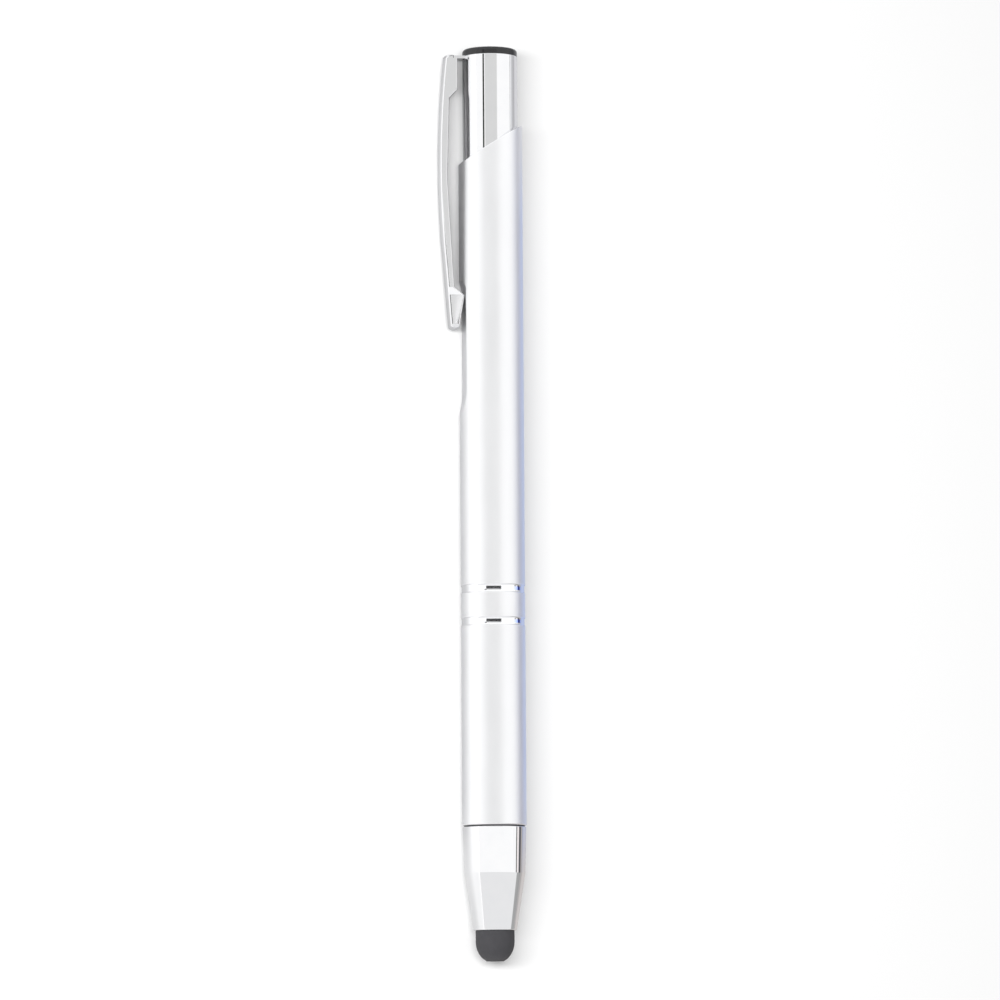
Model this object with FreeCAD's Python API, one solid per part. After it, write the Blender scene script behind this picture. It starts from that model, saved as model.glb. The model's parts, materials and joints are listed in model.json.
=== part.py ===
import FreeCAD, Part
import math
import os

# Slim metal touch-screen pen with a retractable ball point, lying on a table on its barrel and clip.
#
# Every piece is first made upright in the pen's own frame: the axis is z, measured up from the
# apex of the rubber nib, and x points to the clip. lay_down() then turns the finished pen so that
# its axis runs along +Y with the cap at +Y, and rolls it until barrel and clip both touch z = 0.
# All sizes are in millimetres.

# ---- barrel: one turned aluminium tube with an oblique mouth and a milled flat ----
barrel_radius = 5.0
barrel_length = 106.6          # foot to the oblique mouth, measured on the axis
barrel_bore_radius = 3.5
mouth_slope = 31.8             # degrees, lowest on the clip's side
mouth_bore_depth = 20.9        # wide bore for the sliding sleeve, below the mouth on the axis
foot_bore_radius = 4.2
foot_bore_depth = 9.9
foot_chamfer = 0.12
band_width = 1.3               # two bright-cut bands round the middle
band_depth = 0.12
band_height = 31.6             # middle of the lower band above the foot
band_spacing = 5.1
flat_depth = 0.72              # milled flat that the clip's nose rides on
flat_length = 15.4             # its full depth
flat_above_lobe = 0.55         # how far the full depth runs above the clip's lobe
flat_lower_runout = 3.8
flat_upper_runout = 1.8

# ---- nose cone, washer and threaded bush ----
nib_height = 4.85              # rubber that shows below the cone
cone_end_radius = 3.36
cone_kink_radius = 4.74
cone_top_radius = 4.93
cone_kink_height = 8.85        # kink above the cone's end
cone_height = 16.0             # cone's end to its shoulder
cone_lip_round = 0.14
spigot_radius = 3.41
spigot_length = 8.0
ledge_radius = 1.35            # hole in the ledge that carries nib and spring
ledge_thickness = 1.4
chamber_radius = 2.3
washer_radius = 4.72
washer_thickness = 0.25
bush_length = 9.6

# ---- rubber nib and its core ----
nib_radius = 3.1
nib_round = 2.45
nib_hole_radius = 1.3
nib_stem_radius = 2.53
nib_stem_length = 2.3
core_wall = 0.43
core_depth = 2.25              # how far the core reaches down into the dome

# ---- refill ----
point_depth = 0.9              # ball's lowest point above the nib's apex when retracted
ball_radius = 0.5
ball_cover = 0.15              # how far the socket's rim reaches below the ball's middle
socket_rim_wall = 0.08
point_cone_length = 2.4
slim_radius = 1.12
slim_length = 13.4             # from the socket's rim to the step
step_length = 0.8
refill_radius = 1.5
refill_length = 106.4          # from the ball's lowest point to the tube's top end
refill_wall = 0.25
tail_length = 3.0              # socket's tail inside the tube
ink_channel_radius = 0.3
ink_length = 72.0
grease_length = 4.0
collar_radius = 2.1
collar_height = 26.1           # collar's lower face above the ball's lowest point
collar_thickness = 1.0

# ---- return spring ----
spring_wire_radius = 0.18
spring_mean_radius = 1.9
spring_turns = 10

# ---- click mechanism ----
stroke = 5.5                   # travel of the push top
tooth_count = 8
tooth_height = 0.8
tooth_offset = 11.25           # degrees between the teeth's crests and the ribs
rib_count = 4
guide_skirt_radius = 3.48
guide_skirt_length = 7.8
guide_flange_thickness = 0.6
guide_tube_radius = 3.3
guide_tube_length = 19.6
guide_bore_radius = 2.75
guide_rib_radius = 2.16
guide_rib_angle = 44.0
guide_lip_radius = 2.12
guide_lip_thickness = 1.0
rotor_radius = 2.0
rotor_rib_radius = 2.68
rotor_rib_angle = 34.0
rotor_rib_length = 3.0
rotor_height = 4.8             # cup floor to the crown's valleys
rotor_cup_depth = 1.8
push_shaft_radius = 2.0
push_seat_length = 5.0         # how far the shaft goes into the cap's plug

# ---- push top: sleeve, cap and the bush that holds the clip ----
sleeve_radius = 4.3
sleeve_wall = 0.45
sleeve_show = 13.95            # sleeve above the mouth on the axis
sleeve_length = 28.5
cap_edge_height = 0.62
cap_round = 0.5
cap_crown = 0.35
plug_radius = 3.0
plug_length = 7.0

# ---- clip: a stamped channel on a ring that is clamped under the cap ----
clip_sheet = 0.45
clip_width = 3.6
clip_reach = 8.25              # outermost point of the bow, from the axis
clip_bow_radius = 160.0
clip_bow_drop = 17.7           # from the clip's top down to the outermost point
clip_bend_radius = 0.5
clip_length = 43.2
clip_straight_drop = 33.2      # from the clip's top down to where the bow ends
clip_root_depth = 5.3          # inner edge of the deep side walls, from the axis
clip_root_length = 5.4
clip_wall_depth = 1.25         # shallow side walls, outer face to inner edge
clip_step = 1.4
clip_wall_run = 1.0            # the shallow wall keeps its depth down to this far above the lobe
nose_lobe_length = 6.6
nose_lobe_slope = 1.2          # the lobe's shoulder, along the pen
nose_tip_reach = 5.3
nose_round = 0.9
nose_web_width = 2.5           # the lobe tapers to this at the tip, rounded in plan
nose_keel_width = 1.6          # width of the lobe's edge that rides on the flat
clip_ring_radius = 3.8
clip_hinge_reach = 5.9         # where the sheet bends when the clip is lifted

# ---- clearances ----
press_gap = 0.02               # each side of a pressed seat
slide_gap = 0.04               # each side of a running seat
thread_gap = 0.04
face_gap = 0.05                # between parts that meet end to end and then move
notch_gap = 0.05
cutter_margin = 1.0            # how far a cutter runs past what it cuts

# ---- heights that follow from the sizes above ----
cone_end_z = nib_height
cone_kink_z = cone_end_z + cone_kink_height
cone_top_z = cone_end_z + cone_height
barrel_foot_z = cone_top_z + washer_thickness
mouth_z = barrel_foot_z + barrel_length
mouth_bore_z = mouth_z - mouth_bore_depth
ledge_z = cone_end_z + nib_stem_length
chamber_z = ledge_z + ledge_thickness
sleeve_top_z = mouth_z + sleeve_show
sleeve_foot_z = sleeve_top_z - sleeve_length
cap_top_z = sleeve_top_z + cap_edge_height + cap_round + cap_crown
ring_z = sleeve_top_z - clip_sheet
plug_foot_z = sleeve_top_z - plug_length
refill_top_z = point_depth + refill_length
cup_floor_z = refill_top_z + face_gap
crown_z = cup_floor_z + rotor_height
collar_z = point_depth + collar_height
spring_foot_z = chamber_z + spring_wire_radius
spring_head_z = collar_z - spring_wire_radius
guide_flange_z = mouth_bore_z
guide_tube_z = guide_flange_z + guide_flange_thickness
guide_top_z = guide_tube_z + guide_tube_length
guide_lip_z = guide_top_z - guide_lip_thickness
guide_rib_z = crown_z + tooth_height - stroke + slide_gap
clip_top_z = sleeve_top_z
clip_peak_z = clip_top_z - clip_bow_drop
clip_foot_z = clip_top_z - clip_length
lobe_z = clip_foot_z + nose_lobe_length
lobe_shoulder_z = lobe_z - nose_lobe_slope
flat_face = barrel_radius - flat_depth
flat_top_z = lobe_shoulder_z + flat_above_lobe
flat_z = flat_top_z - flat_length
nib_hole_drop = math.sqrt(nib_round ** 2 - (nib_hole_radius - nib_radius + nib_round) ** 2)
nib_low_z = nib_round - nib_hole_drop
axis_z = FreeCAD.Vector(0, 0, 1)


def at(x, y, z):
    return FreeCAD.Vector(x, y, z)


def outline(steps):
    """Closed face in the xz plane. A step is a point, or a pair of points for an arc through the first."""
    start = at(steps[0][0], 0, steps[0][1])
    edges = []
    here = start
    for step in steps[1:] + [steps[0]]:
        if isinstance(step[0], tuple):
            middle = at(step[0][0], 0, step[0][1])
            there = at(step[1][0], 0, step[1][1])
            edges.append(Part.Arc(here, middle, there).toShape())
        else:
            there = at(step[0], 0, step[1])
            if here.distanceToPoint(there) > 1e-7:
                edges.append(Part.LineSegment(here, there).toShape())
        here = there
    return Part.Face(Part.Wire(edges))


def turned(steps):
    """Solid of revolution about the pen's axis."""
    return outline(steps).revolve(at(0, 0, 0), axis_z, 360)


def rod(radius, low, high):
    return Part.makeCylinder(radius, high - low, at(0, 0, low))


def tube(outer, inner, low, high):
    return rod(outer, low, high).cut(rod(inner, low - cutter_margin, high + cutter_margin))


def arc_middle(centre, radius, start_angle, end_angle):
    angle = math.radians((start_angle + end_angle) / 2)
    return (centre[0] + radius * math.cos(angle), centre[1] + radius * math.sin(angle))


def sector(radius, angle, low, high, towards):
    """Wedge of a cylinder, centred on the direction given in degrees."""
    wedge = Part.makeCylinder(radius, high - low, at(0, 0, low), axis_z, angle)
    wedge.rotate(at(0, 0, 0), axis_z, towards - angle / 2)
    return wedge


def ribs(inner, outer, angle, low, high, first=0.0):
    """Ring of equal ribs round the axis."""
    pitch = 360.0 / rib_count
    wedges = [sector(outer, angle, low, high, first + pitch * n) for n in range(rib_count)]
    core = rod(inner, low - cutter_margin, high + cutter_margin)
    return [wedge.cut(core) for wedge in wedges]


def crown(base):
    """Ring of radial teeth: pyramids whose flanks all run to the axis at the height given."""
    reach = 2 * rotor_radius
    half = math.pi / tooth_count
    rise = tooth_height * reach / rotor_radius
    pyramids = []
    for n in range(tooth_count):
        middle = math.radians(tooth_offset) + 2 * half * n
        apex = at(0, 0, base)
        left = at(reach * math.cos(middle - half), reach * math.sin(middle - half), base)
        right = at(reach * math.cos(middle + half), reach * math.sin(middle + half), base)
        crest = at(reach * math.cos(middle), reach * math.sin(middle), base + rise)
        sides = [(apex, left, crest), (apex, crest, right), (apex, right, left), (left, right, crest)]
        faces = [Part.Face(Part.makePolygon([a, b, c, a])) for a, b, c in sides]
        pyramids.append(Part.Solid(Part.Shell(faces)))
    return pyramids[0].fuse(pyramids[1:])


# ---- pieces of the barrel group ----

def make_barrel():
    top = mouth_z + barrel_radius * math.tan(math.radians(mouth_slope)) + cutter_margin
    steps = [(foot_bore_radius, barrel_foot_z), (barrel_radius - foot_chamfer, barrel_foot_z)]
    steps.append((barrel_radius, barrel_foot_z + foot_chamfer))
    for n in range(2):
        middle = barrel_foot_z + band_height + n * band_spacing
        steps.append((barrel_radius, middle - band_width / 2))
        steps.append(((barrel_radius - band_depth, middle), (barrel_radius, middle + band_width / 2)))
    steps += [(barrel_radius, top), (sleeve_radius + slide_gap, top), (sleeve_radius + slide_gap, mouth_bore_z)]
    steps += [(barrel_bore_radius, mouth_bore_z), (barrel_bore_radius, barrel_foot_z + foot_bore_depth)]
    steps += [(foot_bore_radius, barrel_foot_z + foot_bore_depth)]
    body = turned(steps)
    block = 4 * barrel_radius
    above = Part.makeBox(2 * block, 2 * block, block, at(-block, -block, 0))
    above.rotate(at(0, 0, 0), at(0, 1, 0), mouth_slope)
    above.translate(at(0, 0, mouth_z))
    return body.cut(above).cut(flat_cutter())


def flat_cutter():
    """Block that mills the flat, with a round run-out at each end."""
    far = 2 * barrel_radius
    low = flat_z
    high = flat_top_z

    def runout(length, towards, start):
        radius = (length ** 2 + flat_depth ** 2) / (2 * flat_depth)
        half = length / 2
        drop = radius - math.sqrt(radius ** 2 - half ** 2)
        return ((flat_face + drop, start + towards * half), (barrel_radius, start + towards * length))

    lower = runout(flat_lower_runout, -1, low)
    upper = runout(flat_upper_runout, 1, high)
    steps = [(far, lower[1][1]), (far, upper[1][1]), upper[1], (upper[0], (flat_face, high))]
    steps += [(flat_face, low), lower]
    face = outline(steps)
    face.translate(at(0, -barrel_radius, 0))
    return face.extrude(at(0, 2 * barrel_radius, 0))


def make_foot_bush():
    low = barrel_foot_z + face_gap
    return tube(foot_bore_radius - press_gap, spigot_radius + thread_gap, low, low + bush_length)


def make_cam_guide():
    skirt = rod(guide_skirt_radius, guide_flange_z - guide_skirt_length, guide_flange_z + face_gap)
    flange = rod(sleeve_radius - slide_gap, guide_flange_z, guide_tube_z)
    upper = rod(guide_tube_radius, guide_flange_z, guide_top_z)
    body = skirt.fuse([flange, upper])
    body = body.cut(rod(guide_bore_radius, guide_flange_z - 2 * guide_skirt_length, guide_lip_z))
    body = body.cut(rod(guide_lip_radius, guide_lip_z - cutter_margin, guide_top_z + cutter_margin))
    first = 180.0 / rib_count
    low = guide_rib_z - tooth_height
    rib_set = ribs(guide_rib_radius, guide_bore_radius + press_gap, guide_rib_angle, low, guide_lip_z, first)
    stop_teeth = crown(low)
    return body.fuse([rib.cut(stop_teeth) for rib in rib_set]).removeSplitter()


# ---- nose group ----

def make_washer():
    return tube(washer_radius, spigot_radius + slide_gap, cone_top_z, barrel_foot_z)


def make_nose_cone():
    lip = cone_lip_round
    corner = (cone_end_radius - lip, cone_end_z + lip)
    seat = nib_stem_radius + press_gap
    steps = [(seat, cone_end_z), (cone_end_radius - lip, cone_end_z)]
    steps.append((arc_middle(corner, lip, -90, 0), (cone_end_radius, cone_end_z + lip)))
    steps += [(cone_kink_radius, cone_kink_z), (cone_top_radius, cone_top_z), (spigot_radius, cone_top_z)]
    steps += [(spigot_radius, cone_top_z + spigot_length), (chamber_radius, cone_top_z + spigot_length)]
    steps += [(chamber_radius, chamber_z), (ledge_radius, chamber_z), (ledge_radius, ledge_z), (seat, ledge_z)]
    return turned(steps)


def make_nib():
    centre = (nib_radius - nib_round, nib_round)
    hole_angle = math.degrees(math.asin(nib_hole_drop / nib_round))
    core_seat = nib_hole_radius + core_wall + press_gap
    core_low = cone_end_z - core_depth
    steps = [(nib_hole_radius, nib_low_z)]
    steps.append((arc_middle(centre, nib_round, -hole_angle, 0), (nib_radius, nib_round)))
    steps += [(nib_radius, cone_end_z), (nib_stem_radius, cone_end_z), (nib_stem_radius, ledge_z - press_gap)]
    steps += [(core_seat, ledge_z - press_gap), (core_seat, core_low), (nib_hole_radius, core_low)]
    return turned(steps)


def make_nib_core():
    low = cone_end_z - core_depth + press_gap
    return tube(nib_hole_radius + core_wall, nib_hole_radius, low, ledge_z - press_gap)


# ---- refill group ----

def make_ball():
    return Part.makeSphere(ball_radius, at(0, 0, point_depth + ball_radius))


def make_point():
    middle = point_depth + ball_radius
    rim = middle - ball_cover
    cone_z = rim + point_cone_length
    step_z = rim + slim_length
    tube_z = step_z + step_length
    tail_radius = refill_radius - refill_wall - press_gap
    steps = [(0, rim), (ball_radius + socket_rim_wall, rim), (slim_radius, cone_z), (slim_radius, step_z)]
    steps += [(refill_radius, tube_z), (tail_radius, tube_z), (tail_radius, tube_z + tail_length)]
    steps += [(0, tube_z + tail_length)]
    body = turned(steps)
    body = body.cut(Part.makeSphere(ball_radius + press_gap, at(0, 0, middle)))
    return body.cut(rod(ink_channel_radius, middle, tube_z + tail_length + cutter_margin))


def refill_tube_foot():
    return point_depth + ball_radius - ball_cover + slim_length + step_length


def make_refill_tube():
    bore = refill_radius - refill_wall
    low = refill_tube_foot()
    steps = [(bore, low), (refill_radius, low), (refill_radius, collar_z), (collar_radius, collar_z)]
    steps += [(collar_radius, collar_z + collar_thickness), (refill_radius, collar_z + collar_thickness)]
    steps += [(refill_radius, refill_top_z), (bore, refill_top_z)]
    return turned(steps)


def make_ink():
    low = refill_tube_foot() + tail_length + press_gap
    return rod(refill_radius - refill_wall - press_gap, low, low + ink_length)


def make_grease():
    low = refill_tube_foot() + tail_length + press_gap + ink_length + press_gap
    return rod(refill_radius - refill_wall - press_gap, low, low + grease_length)


def make_spring():
    """Round wire wound on a helix, as pairs of tangent arcs for each quarter turn."""
    rise = (spring_head_z - spring_foot_z) / spring_turns
    slope = rise / (2 * math.pi * spring_mean_radius)
    quarters = 4 * spring_turns

    def station(n):
        angle = math.pi / 2 * n
        x = spring_mean_radius * math.cos(angle)
        y = spring_mean_radius * math.sin(angle)
        way = at(-math.sin(angle), math.cos(angle), slope)
        way.normalize()
        return at(x, y, spring_foot_z + rise * n / 4), way

    def bend(start, corner, end):
        chord_middle = (start + end) * 0.5
        half = start.distanceToPoint(end) / 2
        turn = math.atan2(chord_middle.distanceToPoint(corner), half)
        share = math.tan(turn / 2) / math.tan(turn)
        return Part.Arc(start, chord_middle + (corner - chord_middle) * share, end).toShape()

    edges = []
    for n in range(quarters):
        start, way_out = station(n)
        end, way_in = station(n + 1)
        across = end - start
        both = across.dot(way_out + way_in)
        spread = 2 * (1 - way_out.dot(way_in))
        reach = (-both + math.sqrt(both ** 2 + spread * across.dot(across))) / spread
        first = start + way_out * reach
        second = end - way_in * reach
        joint = (first + second) * 0.5
        edges += [bend(start, first, joint), bend(joint, second, end)]
    start, way = station(0)
    section = Part.Wire(Part.Circle(start, way, spring_wire_radius).toShape())
    print("spring: gap between turns %.2f mm" % (rise - 2 * spring_wire_radius))
    return Part.Wire(edges).makePipeShell([section], True, False)


def make_rotor():
    cup_radius = refill_radius + face_gap
    low = cup_floor_z - rotor_cup_depth
    body = rod(rotor_radius, low, crown_z)
    rib_low = crown_z + tooth_height - rotor_rib_length
    rib_foot = ribs(rotor_radius - press_gap, rotor_rib_radius, rotor_rib_angle, rib_low, crown_z)
    crown_top = crown_z + 2 * tooth_height
    ring = rod(rotor_radius, crown_z, crown_top)
    rib_top = ribs(rotor_radius - press_gap, rotor_rib_radius, rotor_rib_angle, crown_z, crown_top)
    teeth = ring.fuse(rib_top).common(crown(crown_z))
    teeth = teeth.common(rod(rotor_rib_radius, crown_z, crown_z + tooth_height))
    body = body.fuse(rib_foot + [teeth])
    body = body.cut(rod(cup_radius, low - cutter_margin, cup_floor_z))
    return body.removeSplitter()


# ---- push top ----

def make_push_cam():
    """Shaft that hangs from the cap's plug; its crown meets the rotor's and its keys run in the guide."""
    low = crown_z + face_gap
    key_top = guide_lip_z - face_gap
    shaft = rod(push_shaft_radius, low, plug_foot_z + push_seat_length)
    keys = ribs(push_shaft_radius - press_gap, rotor_rib_radius, rotor_rib_angle, low, key_top)
    body = shaft.fuse(keys)
    return body.cut(crown(low)).removeSplitter()


def make_sleeve():
    bore = sleeve_radius - sleeve_wall
    body = tube(sleeve_radius, bore, sleeve_foot_z, sleeve_top_z)
    width = clip_width - 2 * clip_sheet + 2 * notch_gap
    height = 2 * (clip_sheet + notch_gap)
    notch = Part.makeBox(2 * sleeve_radius, width, height, at(0, -width / 2, ring_z - notch_gap))
    return body.cut(notch)


def make_cap():
    edge_z = sleeve_top_z + cap_edge_height
    inner = sleeve_radius - cap_round
    crown_radius = (inner ** 2 + cap_crown ** 2) / (2 * cap_crown)
    half = inner / 2
    half_z = cap_top_z - (crown_radius - math.sqrt(crown_radius ** 2 - half ** 2))
    shaft_hole = push_shaft_radius + press_gap
    hole_top = plug_foot_z + push_seat_length + press_gap
    steps = [(0, hole_top), (shaft_hole, hole_top), (shaft_hole, plug_foot_z), (plug_radius, plug_foot_z)]
    steps += [(plug_radius, sleeve_top_z), (sleeve_radius, sleeve_top_z), (sleeve_radius, edge_z)]
    steps.append((arc_middle((inner, edge_z), cap_round, 0, 90), (inner, edge_z + cap_round)))
    steps.append(((half, half_z), (0, cap_top_z)))
    return turned(steps)


def make_clip_bush():
    return tube(sleeve_radius - sleeve_wall - press_gap, plug_radius + press_gap, plug_foot_z, ring_z)


def make_clip_root():
    """Ring clamped under the cap, with the tongue that comes out through the sleeve's notch."""
    width = clip_width - 2 * clip_sheet
    ring = rod(clip_ring_radius, ring_z, sleeve_top_z)
    tongue = Part.makeBox(clip_hinge_reach, width, clip_sheet, at(0, -width / 2, ring_z))
    seat = rod(plug_radius + press_gap, ring_z - cutter_margin, sleeve_top_z + cutter_margin)
    return ring.fuse(tongue).cut(seat).removeSplitter()


def bow_reach(z):
    """Distance of the clip's outer face from the axis on its bowed stretch."""
    return clip_reach - clip_bow_radius + math.sqrt(clip_bow_radius ** 2 - (z - clip_peak_z) ** 2)


def clip_side(inset):
    """The clip seen from the side, its outer face moved in by the inset given."""
    bow_end_z = clip_top_z - clip_straight_drop
    top = (bow_reach(clip_top_z), clip_top_z)
    bow_middle = (clip_reach - inset, clip_peak_z)
    bow_end = (bow_reach(bow_end_z) - inset, bow_end_z)
    tip = (nose_tip_reach + nose_round, clip_foot_z + nose_round)
    wall_reach = bow_reach(lobe_z + clip_wall_run) - clip_wall_depth
    step_z = clip_top_z - clip_root_length
    bend = clip_bend_radius
    steps = [(clip_hinge_reach, clip_top_z - inset), (top[0] - bend, clip_top_z - inset)]
    bend_centre = (top[0] - bend, clip_top_z - bend)
    bend_end = (top[0] - inset, clip_top_z - bend)
    steps.append((arc_middle(bend_centre, bend - inset, 0, 90), bend_end))
    steps.append((bow_middle, bow_end))
    steps.append((tip[0] + nose_round - inset, tip[1]))
    steps.append(((tip[0], clip_foot_z + inset), (nose_tip_reach + inset, tip[1])))
    steps.append((flat_face + slide_gap, lobe_shoulder_z))
    steps.append((wall_reach, lobe_z))
    steps.append((clip_reach - clip_wall_depth, clip_peak_z - clip_step))
    steps.append((bow_reach(step_z - clip_step) - clip_wall_depth, step_z - clip_step))
    steps += [(clip_root_depth, step_z), (clip_root_depth, ring_z), (clip_hinge_reach, ring_z)]
    return outline(steps)


def extruded_across(face, width):
    """Solid of the width given, centred on the plane that the face lies in."""
    face.translate(at(0, -width / 2, 0))
    return face.extrude(at(0, width, 0))


def lobe_section(z, web_width, keel_width):
    """Four-sided wire at a height: one width at the web's outer face, another at the edge on the flat."""
    outer = clip_reach + cutter_margin
    slope = (web_width - keel_width) / 2 / (clip_reach - flat_face)
    web_half = web_width / 2 + slope * (outer - clip_reach)
    keel_half = keel_width / 2
    corners = [at(flat_face, -keel_half, z), at(outer, -web_half, z), at(outer, web_half, z)]
    corners.append(at(flat_face, keel_half, z))
    return Part.makePolygon(corners + corners[:1])


def nose_envelope():
    """What the lobe is pressed within: folded sides that close towards the flat, and a tip round in plan."""
    tip_z = clip_foot_z + nose_web_width / 2
    sections = [
        lobe_section(lobe_z, clip_width, clip_width),
        lobe_section(lobe_shoulder_z, clip_width - (clip_width - nose_web_width) / 3, nose_keel_width),
        lobe_section(clip_foot_z, nose_web_width, nose_keel_width),
    ]
    folded = Part.makeLoft(sections, True, True)
    depth = 2 * clip_reach
    round_tip = Part.makeCylinder(nose_web_width / 2, depth, at(0, 0, tip_z), at(1, 0, 0))
    above_tip = Part.makeBox(depth, clip_width, lobe_z - tip_z, at(0, -clip_width / 2, tip_z))
    return folded.common(round_tip.fuse(above_tip))


def make_clip():
    """Channel stamping: bowed web, side walls deep at the root, and a closed lobe at the nose."""
    solid = extruded_across(clip_side(0.0), clip_width)
    hollow = extruded_across(clip_side(clip_sheet), clip_width - 2 * clip_sheet)
    open_length = ring_z - lobe_z
    channel = Part.makeBox(2 * clip_reach, clip_width, open_length, at(0, -clip_width / 2, lobe_z))
    arm = solid.common(Part.makeBox(2 * clip_reach, clip_width, clip_length, at(0, -clip_width / 2, lobe_z)))
    lobe = solid.common(nose_envelope())
    return arm.fuse(lobe).cut(hollow.common(channel)).removeSplitter()


# ---- placing and writing ----

def roll_angle():
    """Angle at which the clip dips below level so that its lower edge and the barrel touch one plane."""
    half = clip_width / 2
    span = math.hypot(clip_reach, half)
    return math.degrees(math.asin(barrel_radius / span) - math.atan2(half, clip_reach))


def lay_down(shape):
    """Upright frame to the row frame: axis to +Y, clip to -X and down by the roll angle."""
    roll = math.radians(roll_angle())
    half = clip_width / 2
    left = -(clip_reach * math.cos(roll) + half * math.sin(roll))
    middle_x = (left + barrel_radius) / 2
    clip_way = at(-math.cos(roll), 0, -math.sin(roll))
    side_way = axis_in_row().cross(clip_way)
    turn = FreeCAD.Matrix(
        clip_way.x, side_way.x, 0, -middle_x,
        clip_way.y, side_way.y, 1, -(nib_low_z + cap_top_z) / 2,
        clip_way.z, side_way.z, 0, barrel_radius,
        0, 0, 0, 1,
    )
    placed = shape.copy()
    placed.Placement = FreeCAD.Placement(turn).multiply(shape.Placement)
    return placed


def axis_in_row():
    return at(0, 1, 0)


pieces = {
    "barrel": make_barrel,
    "foot_bush": make_foot_bush,
    "cam_guide": make_cam_guide,
    "nose_washer": make_washer,
    "nose_cone": make_nose_cone,
    "stylus_nib": make_nib,
    "nib_core": make_nib_core,
    "point_ball": make_ball,
    "refill_point": make_point,
    "refill_tube": make_refill_tube,
    "ink_column": make_ink,
    "grease_plug": make_grease,
    "return_spring": make_spring,
    "cam_rotor": make_rotor,
    "push_cam": make_push_cam,
    "top_sleeve": make_sleeve,
    "end_cap": make_cap,
    "clip_bush": make_clip_bush,
    "clip_root": make_clip_root,
    "clip": make_clip,
}

os.makedirs("parts", exist_ok=True)
for name, make in pieces.items():
    shape = lay_down(make())
    facts = (name, len(shape.Solids), shape.Volume, shape.isValid())
    print("%-14s solids %d  volume %9.3f mm3  valid %s" % facts)
    shape.exportStep(os.path.join("parts", name + ".step"))
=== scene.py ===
import json
import math
import bmesh
import bpy
import numpy as np
from mathutils import Matrix, Vector


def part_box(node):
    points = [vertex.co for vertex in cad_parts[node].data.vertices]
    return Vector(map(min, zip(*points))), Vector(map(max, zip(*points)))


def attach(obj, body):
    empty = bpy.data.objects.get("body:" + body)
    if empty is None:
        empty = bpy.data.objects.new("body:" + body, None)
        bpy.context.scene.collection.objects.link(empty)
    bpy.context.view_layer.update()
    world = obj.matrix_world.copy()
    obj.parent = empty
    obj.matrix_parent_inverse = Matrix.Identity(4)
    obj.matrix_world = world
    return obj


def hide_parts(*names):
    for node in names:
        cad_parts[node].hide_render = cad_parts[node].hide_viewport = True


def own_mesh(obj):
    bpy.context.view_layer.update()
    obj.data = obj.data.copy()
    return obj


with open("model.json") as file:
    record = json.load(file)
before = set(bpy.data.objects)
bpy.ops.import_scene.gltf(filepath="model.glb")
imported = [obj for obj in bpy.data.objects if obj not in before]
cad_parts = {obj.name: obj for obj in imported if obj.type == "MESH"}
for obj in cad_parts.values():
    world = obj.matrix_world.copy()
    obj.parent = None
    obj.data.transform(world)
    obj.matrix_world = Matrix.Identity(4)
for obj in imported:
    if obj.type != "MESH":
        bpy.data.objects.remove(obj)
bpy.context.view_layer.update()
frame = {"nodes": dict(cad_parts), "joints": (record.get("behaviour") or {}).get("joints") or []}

# Slim metal touch-screen pen lying on its barrel and clip. Sizes in the dictionaries are in
# millimetres in the pen's own frame: x towards the clip, y across it, and the third number is
# the height above the rubber nib's apex. toRow() turns that frame into the lying one, in metres.

print("loaded", len(frame["nodes"]), "CAD nodes")


# how the pen lies, taken from the frame
barrelLow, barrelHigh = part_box("barrel")
liftAxis = next(joint for joint in frame["joints"] if joint["name"] == "clip_lift")["axis"]
lying = dict(
    footHeight=21.1,                               # barrel's foot above the apex
    axisX=(barrelLow.x + barrelHigh.x) / 2,
    axisZ=(barrelLow.z + barrelHigh.z) / 2,
    dipSine=liftAxis[0],                           # how far the clip dips below level
    dipCosine=-liftAxis[2],
)
lying["apexY"] = barrelLow.y - lying["footHeight"] / 1000


def toRow(points):
    # Pen frame in mm to row frame in m: x = -c x - s y, z = -s x + c y, moved to the pen's axis.
    x, y, height = points[..., 0] / 1000, points[..., 1] / 1000, points[..., 2] / 1000
    sine, cosine = lying["dipSine"], lying["dipCosine"]
    return np.stack([
        lying["axisX"] - cosine * x - sine * y,
        lying["apexY"] + height,
        lying["axisZ"] - sine * x + cosine * y,
    ], -1)


class Wire:
    # An output socket. Arithmetic on it adds Math nodes.

    def __init__(self, shader, socket):
        self.shader, self.socket = shader, socket

    def maths(self, operation, *values):
        return self.shader.add("ShaderNodeMath", {"operation": operation}, dict(enumerate(values)))[0]

    def __add__(self, other):
        return self.maths("ADD", self, other)

    def __sub__(self, other):
        return self.maths("SUBTRACT", self, other)

    def __rsub__(self, other):
        return self.maths("SUBTRACT", other, self)

    def __mul__(self, other):
        return self.maths("MULTIPLY", self, other)

    def __truediv__(self, other):
        return self.maths("DIVIDE", self, other)

    __radd__, __rmul__ = __add__, __mul__

    def step(self, low, high):
        # 0 below low, 1 above high, smooth between.
        settings, ends = {"interpolation_type": "SMOOTHSTEP"}, {1: low, 2: high, 3: 0.0, 4: 1.0}
        return self.shader.add("ShaderNodeMapRange", settings, {0: self, **ends})[0]


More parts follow.
